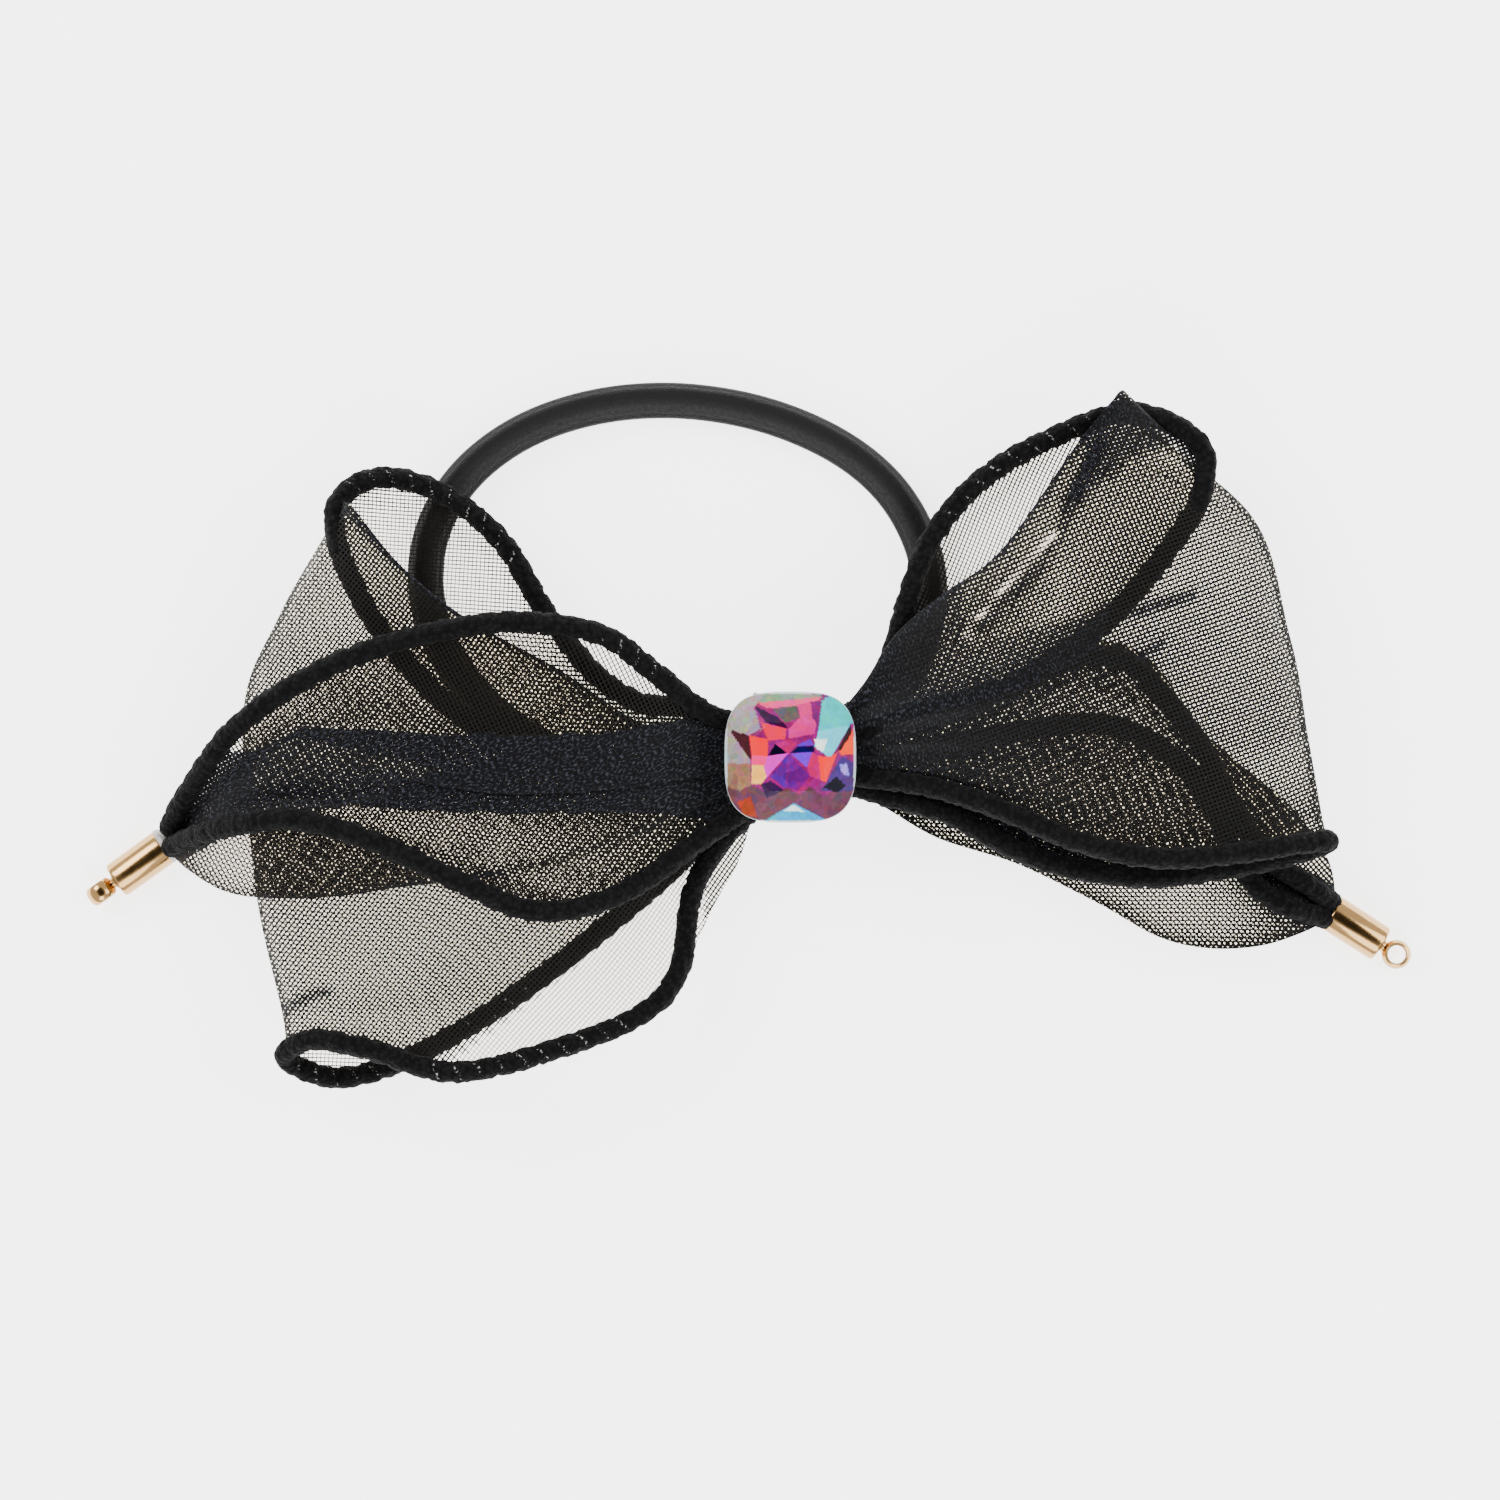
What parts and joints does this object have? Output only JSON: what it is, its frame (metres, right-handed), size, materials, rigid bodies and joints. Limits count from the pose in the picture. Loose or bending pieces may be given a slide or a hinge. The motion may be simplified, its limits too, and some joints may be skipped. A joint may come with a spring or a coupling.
{
  "type": "hair bow",
  "caption": "Sheer ribbon hair bow on an elastic hair tie, with cord-edged loops, tails in metal end caps and a faceted square crystal at the knot.",
  "frame": {"origin": "on the flat back of the centre wrap, under the middle of the crystal", "axes": "+X along the bow, +Y across it towards the far side of the elastic, +Z out of the crystal"},
  "size_m": [0.143, 0.0757, 0.0195],
  "materials": {
    "organza": "sheer woven ribbon",
    "edge_cord": "knitted black cord",
    "elastic_knit": "knitted elastic sheath",
    "elastic_rubber": "latex core",
    "thread": "polyester thread",
    "crystal": "faceted, iridescent coating",
    "adhesive": "clear cured glue",
    "cap_metal": "polished pale gold plating"
  },
  "bodies": {
    "knot": {"centre_wrap": "organza", "gathered_centre": "organza", "binding_thread": "thread", "stone_adhesive": "adhesive", "crystal_stone": "crystal"},
    "hair_loop": {"elastic_left_sheath": "elastic_knit", "elastic_left_core": "elastic_rubber", "elastic_right_sheath": "elastic_knit", "elastic_right_core": "elastic_rubber"},
    "hair_loop_far": {"elastic_far_sheath": "elastic_knit", "elastic_far_core": "elastic_rubber"},
    "left_loop": {"left_loop_ribbon": "organza", "left_loop_top_cord": "edge_cord", "left_loop_bottom_cord": "edge_cord"},
    "left_tail": {"left_tail_ribbon": "organza", "left_tail_top_cord": "edge_cord", "left_tail_bottom_cord": "edge_cord"},
    "right_tail": {"right_tail_ribbon": "organza", "right_tail_top_cord": "edge_cord", "right_tail_bottom_cord": "edge_cord"},
    "right_loop": {"right_loop_ribbon": "organza", "right_loop_top_cord": "edge_cord", "right_loop_bottom_cord": "edge_cord"},
    "left_cap": {"left_tail_end": "organza", "left_cap_glue": "adhesive", "left_end_cap": "cap_metal", "left_cap_eyelet": "cap_metal"},
    "right_cap": {"right_tail_end": "organza", "right_cap_glue": "adhesive", "right_end_cap": "cap_metal", "right_cap_eyelet": "cap_metal"}
  },
  "joints": [
    {"name": "elastic_swing", "type": "hinge", "parent": "knot", "child": "hair_loop", "pos_m": [0, 0, 0.0026], "axis": [0.9387, 0.3446, 0], "range_deg": [-90, 0]},
    {"name": "elastic_stretch", "type": "slide", "parent": "hair_loop", "child": "hair_loop_far", "axis": [-0.567, 0.8237, 0], "range_m": [0, 0.035], "stiffness_N_per_m": 20, "deforming": ["elastic_left_sheath", "elastic_left_core", "elastic_right_sheath", "elastic_right_core"]},
    {"name": "left_loop_lift", "type": "hinge", "parent": "knot", "child": "left_loop", "pos_m": [-0.011, 0, 0.0072], "axis": [0, 1, 0], "range_deg": [0, 35]},
    {"name": "left_tail_lift", "type": "hinge", "parent": "left_loop", "child": "left_tail", "pos_m": [-0.011, 0, 0.0072], "axis": [0, 1, 0], "range_deg": [0, 30]},
    {"name": "right_tail_lift", "type": "hinge", "parent": "knot", "child": "right_tail", "pos_m": [0.011, 0, 0.0072], "axis": [0, -1, 0], "range_deg": [0, 35]},
    {"name": "right_loop_lift", "type": "hinge", "parent": "right_tail", "child": "right_loop", "pos_m": [0.011, 0, 0.0072], "axis": [0, -1, 0], "range_deg": [0, 30]},
    {"name": "left_cap_swing", "type": "hinge", "parent": "left_tail", "child": "left_cap", "pos_m": [-0.06614, -0.00865, 0.0019], "axis": [0, 0, 1], "range_deg": [-30, 30]},
    {"name": "right_cap_swing", "type": "hinge", "parent": "right_tail", "child": "right_cap", "pos_m": [0.05699, -0.01582, 0.0019], "axis": [0, 0, 1], "range_deg": [-30, 30]}
  ]
}
